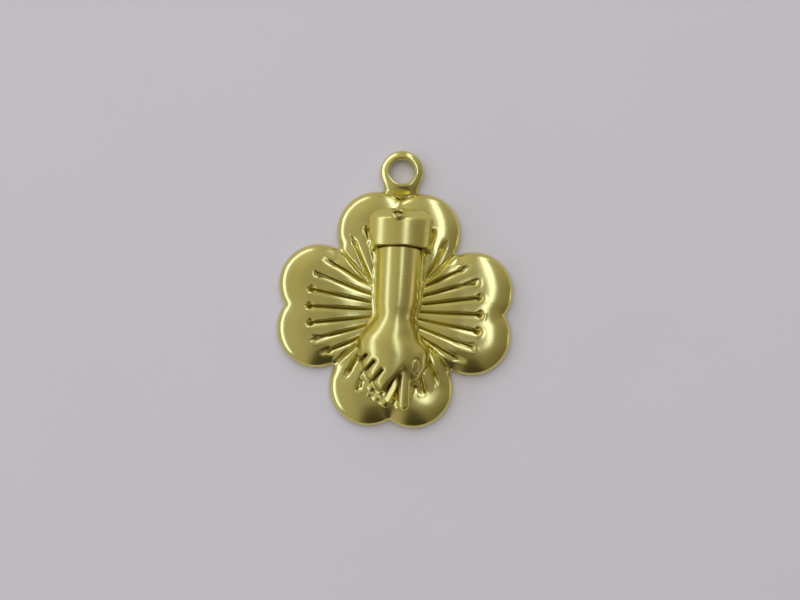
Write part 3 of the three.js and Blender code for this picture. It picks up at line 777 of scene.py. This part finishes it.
# Index and thumb, in plan from knuckle to tip, with their widths, heights and straight sides
digits = {
    "index": dict(line=[(2.7, -4.6), (2.8, -5.7), (2.5, -6.85)], width=1.8, tipWidth=1.05,
                  sides=0.9, rise=2.0, tipRise=1.85, blend=0.8),
    "web": dict(line=[(2.05, -6.1), (2.15, -7.3)], width=1.0, tipWidth=0.9,
                sides=0.7, rise=1.7, tipRise=1.1, blend=0.4),
    "thumb": dict(line=[(1.47, -5.9), (1.47, -8.2), (1.5, -9.9)], width=1.3, tipWidth=1.25,
                  sides=1.4, rise=2.35, tipRise=1.95, blend=0.5),
}

# Metal left between the thumb and the folded fingers, its top falling away from its end
wedge = dict(line=[(0.85, -7.0), (-0.3, -9.45)], width=0.8, place=(0.0, -8.6), rise=1.0, fall=0.27,
             toward=33, edge=0.2, blend=0.15)

# The line where the back ends, slanting up over the fingers and running down at the index
knuckles = dict(line=-6.3, slant=0.28, slantFrom=0.8, drop=1.3, dropFrom=1.9, dropTo=2.5, edge=1.2)

# Folded fingers: the back runs on over them to their ends, with the thumb's side cut away,
# and fine slits part them
fist = dict(ends=[(-3.1, -6.95), (-1.06, -8.79)], endEdge=1.1,
            side=[(-0.95, -8.65), (0.89, -6.33)], sideEdge=0.45)
slits = [
    [(-2.74, -4.85), (-3.31, -5.53), (-3.75, -6.05)],
    [(-1.86, -5.43), (-2.74, -6.49), (-3.3, -7.2)],
    [(-0.99, -6.3), (-1.72, -7.26), (-2.4, -8.2)],
]
slitSizes = {"width": 0.06, "endWidth": 0.34, "depth": 0.6, "edge": 0.6}
nail = dict(place=(2.5, -5.7), size=(0.45, 0.7), line=0.17, depth=0.07)
nailPit = dict(place=(2.65, -6.55), radius=0.2, depth=0.14)


def nearLine(x, y, line):
    # Distance in plan from a bent line, and the share of its length at the nearest point
    steps = [alongLine(x, y, start, end) for start, end in zip(line, line[1:])]
    total = sum(length for _, _, length in steps)
    gone, best, share = 0.0, None, None
    for along, across, length in steps:
        past = np.clip(along, 0, length)
        apart = np.hypot(along - past, across)
        here = (gone + past) / total
        share = here if best is None else np.where(apart < best, here, share)
        best = apart if best is None else np.minimum(best, apart)
        gone += length
    return best, share


def digitShape(x, y, height, digit):
    apart, share = nearLine(x, y, digit["line"])
    half = (digit["width"] + (digit["tipWidth"] - digit["width"]) * share) / 2
    rise = digit["rise"] + (digit["tipRise"] - digit["rise"]) * share ** 1.5
    return arch(apart, height - digit["sides"], half, rise - digit["sides"], 2.2)


def wedgeShape(x, y, height):
    apart, _ = nearLine(x, y, wedge["line"])
    away = radians(wedge["toward"])
    outward = (x - wedge["place"][0]) * sin(away) + (y - wedge["place"][1]) * cos(away)
    top = wedge["rise"] - wedge["fall"] * outward
    return overlap(apart - wedge["width"] / 2, (height - top) * 0.96, wedge["edge"])


def handShape(x, y, z):
    s = handSizes
    height = z - seat
    left, right, rise = (smoothThrough(sorted(s[key]), y) for key in ("left", "right", "rise"))
    back = arch(x - (left + right) / 2, height, (right - left) / 2, rise, s["squareness"])
    knuckleLine = (knuckles["line"] + knuckles["slant"] * np.maximum(knuckles["slantFrom"] - x, 0)
                   - knuckles["drop"] * ramp(x, knuckles["dropFrom"], knuckles["dropTo"]))
    ends, side = (alongLine(x, y, *fist[key])[1] for key in ("ends", "side"))
    fingers = overlap(overlap(back, ends, fist["endEdge"]), side, fist["sideEdge"])
    hand = np.minimum(overlap(back, knuckleLine - y, knuckles["edge"]), fingers)
    for slit in slits:
        apart, share = nearLine(x, y, slit)
        half = (slitSizes["width"] + (slitSizes["endWidth"] - slitSizes["width"]) * share ** 2) / 2
        hand = overlap(hand, np.minimum(half - apart, hand + slitSizes["depth"]), slitSizes["edge"])
    for digit in digits.values():
        hand = join(hand, digitShape(x, y, height, digit), digit["blend"])
    hand = join(hand, wedgeShape(x, y, height), wedge["blend"])
    ovalX = (x - nail["place"][0]) / nail["size"][0]
    ovalY = (y - nail["place"][1]) / nail["size"][1]
    oval = np.abs(np.hypot(ovalX, ovalY) - 1) * min(nail["size"]) / nail["line"]
    hand = hand + nail["depth"] * np.clip(1 - oval ** 2, 0, 1) ** 2 * (height > 0.8)
    pit = np.hypot(x - nailPit["place"][0], y - nailPit["place"][1]) / nailPit["radius"]
    hand = hand + nailPit["depth"] * np.clip(1 - pit ** 2, 0, 1) ** 2 * (height > 0.8)
    shoulder = cuffLow[1] - s["shoulderGap"]
    hand = overlap(hand, y - shoulder - s["lean"] * height, 0.1)
    spigot = arch(x - handAxis, height, s["spigotWidth"] / 2, s["spigotRise"],
                  s["spigotSquareness"])
    spigot = np.maximum(np.maximum(spigot, y - shoulder - s["spigotLength"]), shoulder - 1 - y)
    return np.maximum(np.minimum(hand, spigot), -height)


def fingerShade(x, y, z):
    # Painted shade darkens the fingers' ends and the side by the thumb
    ends, side = (alongLine(x, y, *fist[key])[1] for key in ("ends", "side"))
    nearEdge = ramp(np.maximum(ends, side), -0.6, -0.1) * ramp(side, 0.2, 0.05)
    return 0.7 * ramp(y, -5.4, -6.6) * nearEdge


def figaHand():
    low, high = (-4.6, -12.0, seat - 0.2), (4.4, cuffLow[1] + 3.0, seat + 3.5)
    return addSkin("figaHand", handShape, low, high, handSizes["step"], satinBrass, "figa_hand",
                   crease=0.18, darkening=fingerShade)


figaHand()


# Cuff: a half round sleeve over the spigot, with its far end sloped and rounded off
cuffSizes = {
    "footWidth": 5.6,
    "flare": 1.9,  # length over which it widens from the foot
    "crown": 7.2,  # width of the round that its top belongs to
    "footAside": 0.25,
    "bevelRun": 1.1,
    "bevelDrop": 1.4,
    "cornerDraw": 0.95,
    "endDraw": 0.8,  # how far its end's corners stay behind the middle
    "cornerRound": 0.4,
    "edge": 0.14,  # rounding of its edge at the arm
    "clearance": 0.1,
    "step": 0.06,
}


def cuffOuter(x, y, z):
    s = cuffSizes
    wide, foot = (cuffHigh[0] - cuffLow[0]) / 2, s["footWidth"] / 2
    height, rise = z - seat, cuffHigh[2] - seat
    slope = (y - cuffHigh[1]) / s["bevelRun"] + 1
    slope = np.clip((slope + np.sqrt(slope ** 2 + 0.02)) / 2, 0, 1.2)
    widened = ramp(y, cuffLow[1] - 0.6, cuffLow[1] + s["flare"])
    half = foot + (wide - foot) * widened - s["cornerDraw"] * slope ** 2.2
    aside = x - handAxis - s["footAside"] * (1 - widened)
    body = arch(x - handAxis, height, s["crown"] / 2, rise - s["bevelDrop"] * slope, 2.0)
    body = overlap(body, np.abs(aside) - half, s["cornerRound"])
    end = y - cuffHigh[1] + s["endDraw"] * np.abs((x - handAxis) / wide) ** 3.5
    body = overlap(body, end, s["cornerRound"])
    body = overlap(body, cuffLow[1] + handSizes["lean"] * height - y, s["edge"])
    return np.maximum(body, -height)


def cuffShape(x, y, z):
    hand, gap = handSizes, cuffSizes["clearance"]
    height = z - seat
    socket = arch(x - handAxis, height, hand["spigotWidth"] / 2 + gap, hand["spigotRise"] + gap,
                  hand["spigotSquareness"])
    socket = np.maximum(socket, y - cuffLow[1] + hand["shoulderGap"] - hand["spigotLength"] - gap)
    return np.maximum(cuffOuter(x, y, z), -socket)


def armCuff():
    return addSkin("armCuff", cuffShape, cuffLow - 0.3, cuffHigh + 0.3, cuffSizes["step"],
                   satinBrass, "cuff")


armCuff()


# Solder that shows round the hand's foot and fills the grooves under it
bedSizes = {
    # how wide it shows, down the arm
    "margin": [(-12.0, 0.14), (-2.2, 0.14), (-0.6, 0.45), (6.0, 0.45), (7.2, 0.12), (11.0, 0.06)],
    "climb": 0.35,
    "sink": 0.34,  # less than the sheet, so that it doesn't come through behind
    "uneven": 0.07,
    "lumpReach": 0.4,  # lumps where it ran out, to its width there
    "lumpRise": 0.25,
    "step": 0.07,
}

# Places where more solder ran out: in plan, with reach and width
solderRuns = [(-3.3, -7.6, 0.8, 0.35), (-2.4, -9.1, 1.0, 0.95), (-1.0, -9.6, 1.0, 0.95),
              (0.3, -9.6, 0.9, 0.6), (2.4, -8.1, 0.9, 0.4), (-3.2, 6.9, 0.8, 0.5)]
# Places where it climbs, at the ends of the line between forearm and cuff
solderLumps = [(-2.6, 6.45, 0.5, 0.9), (2.95, 6.45, 0.5, 0.9)]


def bedShape(x, y, z):
    s = bedSizes
    margin = np.interp(y, *zip(*s["margin"]))
    margin = margin + s["uneven"] * np.sin(4.3 * x + 1.1) * np.sin(3.7 * y)
    lumpy = np.sin(3.3 * x + 1.9 * y + np.sin(2.3 * y))
    lumpy = lumpy * np.sin(3.9 * y - 1.4 * x + np.sin(1.7 * x + 0.8))
    ran = sum(width * np.exp(-((x - runX) ** 2 + (y - runY) ** 2) / reach ** 2)
              for runX, runY, reach, width in solderRuns)
    margin = margin + ran * (1 + s["lumpReach"] * lumpy)
    climb = s["climb"] + s["lumpRise"] * ran * lumpy
    for lumpX, lumpY, reach, more in solderLumps:
        climb = climb + more * np.exp(-((x - lumpX) ** 2 + (y - lumpY) ** 2) / reach ** 2)
    share = np.clip((z - sheetTop) / (seat + climb - sheetTop), 0, 1)
    level = np.full_like(z, seat + 0.05)
    plan = join(handShape(x, y, level), cuffShape(x, y, level), 0.3)
    bed = plan - margin * (1 - share) ** 2.2
    risen = ramp(np.hypot(x, y), cloverSizes["dishFlat"], cloverSizes["dishReach"])
    floor = sheetTop - s["sink"] - cloverSizes["dish"] * (1 - risen)
    bed = np.maximum(np.maximum(bed, z - seat - climb), floor - z)
    return np.maximum(bed, -np.minimum(handShape(x, y, z), cuffOuter(x, y, z)) - 0.005)


def handBed():
    low, high = (-5.0, -12.6, sheetTop - 0.8), (5.0, cuffHigh[1] + 0.3, seat + 1.5)
    return addSkin("handBed", bedShape, low, high, bedSizes["step"], brassSolder,
                   "hand_solder_bed", crease=0.3)


handBed()


# Tubular rivet through the cuff's sloping end
rivetSizes = {
    "head": 1.6,
    "rise": 0.42,
    "hollow": 0.8,
    "shank": 0.56,
    "length": 2.0,
    "down": 0.44,  # from the top of the slope to its axis
    "step": 0.035,
}


def rivetShape(x, y, z):
    s = rivetSizes
    run, drop = cuffSizes["bevelRun"], cuffSizes["bevelDrop"]
    tilt = atan2(drop, run)
    centreY = cuffHigh[1] - run + s["down"] * cos(tilt)
    centreZ = cuffHigh[2] - s["down"] * sin(tilt)
    up = (y - centreY) * sin(tilt) + (z - centreZ) * cos(tilt)
    down = (y - centreY) * cos(tilt) - (z - centreZ) * sin(tilt)
    away = np.hypot(x - rivetAxis, down)
    ringMiddle, ringHalf = (s["head"] + s["hollow"]) / 4, (s["head"] - s["hollow"]) / 4
    ring = np.hypot((away - ringMiddle) / ringHalf, (up - 0.05) / (s["rise"] - 0.05)) - 1
    ring = np.maximum(ring * min(ringHalf, s["rise"]), -up - 0.05)
    shank = np.maximum(away - s["shank"] / 2, np.maximum(up - 0.1, -up - s["length"]))
    return join(ring, shank, 0.12)


def cuffRivet():
    low, high = nodeBox("cuff_rivet")
    return addSkin("cuffRivet", rivetShape, low - 0.3, high + 0.3, rivetSizes["step"], satinBrass,
                   "cuff_rivet")


cuffRivet()


# Table, light and camera, in metres
tableSizes = dict(half=1.5, below=0.01 * mm, colour=(0.565, 0.535, 0.5), roughness=0.8)


def tableFinish():
    material = bpy.data.materials.new("paleTable")
    material.use_nodes = True
    tree = material.node_tree
    shader = tree.nodes["Principled BSDF"]
    coordinate = tree.nodes.new("ShaderNodeTexCoord").outputs["Object"]
    noise = treeNode(tree, "ShaderNodeTexNoise", Vector=coordinate, Scale=60.0, Detail=5.0)
    colour = tableSizes["colour"]
    darker = tuple(0.97 * c for c in colour)
    mixed = colourMix(tree, (*colour, 1), (*darker, 1), Field(tree, noise.outputs["Fac"]))
    tree.links.new(mixed, shader.inputs["Base Color"])
    shader.inputs["Roughness"].default_value = tableSizes["roughness"]
    shader.inputs["Specular IOR Level"].default_value = 0.2
    return material


def table():
    half = tableSizes["half"]
    mesh = bpy.data.meshes.new("paleTable")
    corners = [(-half, -half, 0), (half, -half, 0), (half, half, 0), (-half, half, 0)]
    mesh.from_pydata(corners, [], [(0, 1, 2, 3)])
    mesh.materials.append(tableFinish())
    floor = bpy.data.objects.new("paleTable", mesh)
    floor.location.z = -tableSizes["below"]
    bpy.context.scene.collection.objects.link(floor)


# Lights as seen from the charm: azimuth clockwise from +Y, and the angle from straight up
lamps = {
    "ceilingTube": dict(azimuth=33, fromZenith=33, distance=0.6, width=0.1, height=0.82,
                        radiance=1.85, turn=29, colour=(0.9, 1.05, 1.85)),
    "farTube": dict(azimuth=18, fromZenith=71, distance=0.6, width=0.16, height=0.11,
                    radiance=1.0, colour=(0.9, 1.05, 1.85)),
    "westWindow": dict(azimuth=262, fromZenith=63, distance=0.6, width=0.8, height=0.17,
                       radiance=1.25, colour=(0.88, 1.06, 2.05)),
    "northWindow": dict(azimuth=318, fromZenith=65, distance=0.6, width=0.5, height=0.16,
                        radiance=1.05, colour=(0.88, 1.06, 2.05)),
    "eastLamp": dict(azimuth=93, fromZenith=88, distance=0.6, width=0.14, height=0.04,
                     radiance=2.0),
    "softFill": dict(azimuth=330, fromZenith=25, distance=0.9, width=1.2, height=1.2, radiance=1.25,
                     mirrored=False),
}


def panel(name, azimuth, fromZenith, distance, width, height, radiance, turn=0.0,
          colour=(1, 1, 1), mirrored=True):
    lamp = bpy.data.lights.new(name, "AREA")
    lamp.shape = "RECTANGLE"
    lamp.size, lamp.size_y = width, height
    lamp.energy = radiance * pi * width * height
    lamp.color = colour
    holder = bpy.data.objects.new(name, lamp)
    a, e = radians(azimuth), radians(fromZenith)
    way = Vector((sin(a) * sin(e), cos(a) * sin(e), cos(e)))
    holder.location = Vector(cloverCentre * mm) + way * distance
    holder.rotation_mode = "QUATERNION"
    spun = Euler((0, 0, radians(turn))).to_quaternion()
    holder.rotation_quaternion = way.to_track_quat("Z", "Y") @ spun
    holder.visible_camera = False
    holder.visible_glossy = mirrored
    bpy.context.scene.collection.objects.link(holder)


# Light from the room itself: brighter to the west and north, with a dark patch to the south
room = dict(overhead=0.3, west=0.16, east=0.04, north=0.12, patch=0.7, south=0.12, southEast=0.25)


def roomLight():
    world = bpy.data.worlds.new("room")
    bpy.context.scene.world = world
    world.use_nodes = True
    tree = world.node_tree
    way = tree.nodes.new("ShaderNodeTexCoord").outputs["Generated"]
    split = treeNode(tree, "ShaderNodeSeparateXYZ", Vector=way)
    east, north = (Field(tree, split.outputs[axis]) for axis in "XY")
    overhead = room["overhead"] + room["west"] * fieldRamp(east, 0.1, -0.35)
    overhead = overhead - room["east"] * fieldRamp(east, 0.4, 0.9)
    overhead = overhead + room["north"] * fieldRamp(north, 0.05, 0.6)
    south = fieldMath("MAXIMUM", 0.0 - north, 0.05)
    patch = fieldRamp(south, 0.18, 0.34) * (1.0 - fieldRamp(abs(east / south - 0.14), 0.18, 0.5))
    southEast = fieldRamp(south, 0.1, 0.35) * fieldRamp(east, 0.2, 0.5)
    level = overhead * (1.0 - room["patch"] * patch - room["south"] * fieldRamp(south, 0.1, 0.8)
                        - room["southEast"] * southEast)
    tint = colourMix(tree, (1.0, 0.88, 0.72, 1), (1.0, 0.95, 0.9, 1), fieldRamp(level, 0.12, 0.42))
    background = tree.nodes["Background"]
    tree.links.new(tint, background.inputs["Color"])
    tree.links.new(level.socket, background.inputs["Strength"])


# Camera of the photograph: millimetres, and degrees
photo = dict(lens=45.5, sensor=36, distance=110.0, look=(0.5, 1.1, 0.0), tilt=0.4, roll=3.0)


def photoCamera():
    camera = bpy.data.objects.new("photoCamera", bpy.data.cameras.new("photoCamera"))
    camera.data.lens = photo["lens"]
    camera.data.sensor_width = photo["sensor"]
    camera.data.clip_start, camera.data.clip_end = 0.005, 10
    camera.rotation_euler = (radians(photo["tilt"]), 0, radians(photo["roll"]))
    back = camera.rotation_euler.to_matrix() @ Vector((0, 0, 1))
    target = Vector((np.array(photo["look"]) + cloverCentre) * mm)
    camera.location = target + back * photo["distance"] * mm
    bpy.context.scene.collection.objects.link(camera)
    bpy.context.scene.camera = camera


table()
for lampName, lampSizes in lamps.items():
    panel(lampName, **lampSizes)
roomLight()
photoCamera()
bpy.context.scene.view_settings.view_transform = "Standard"
print("table, light and camera ready")
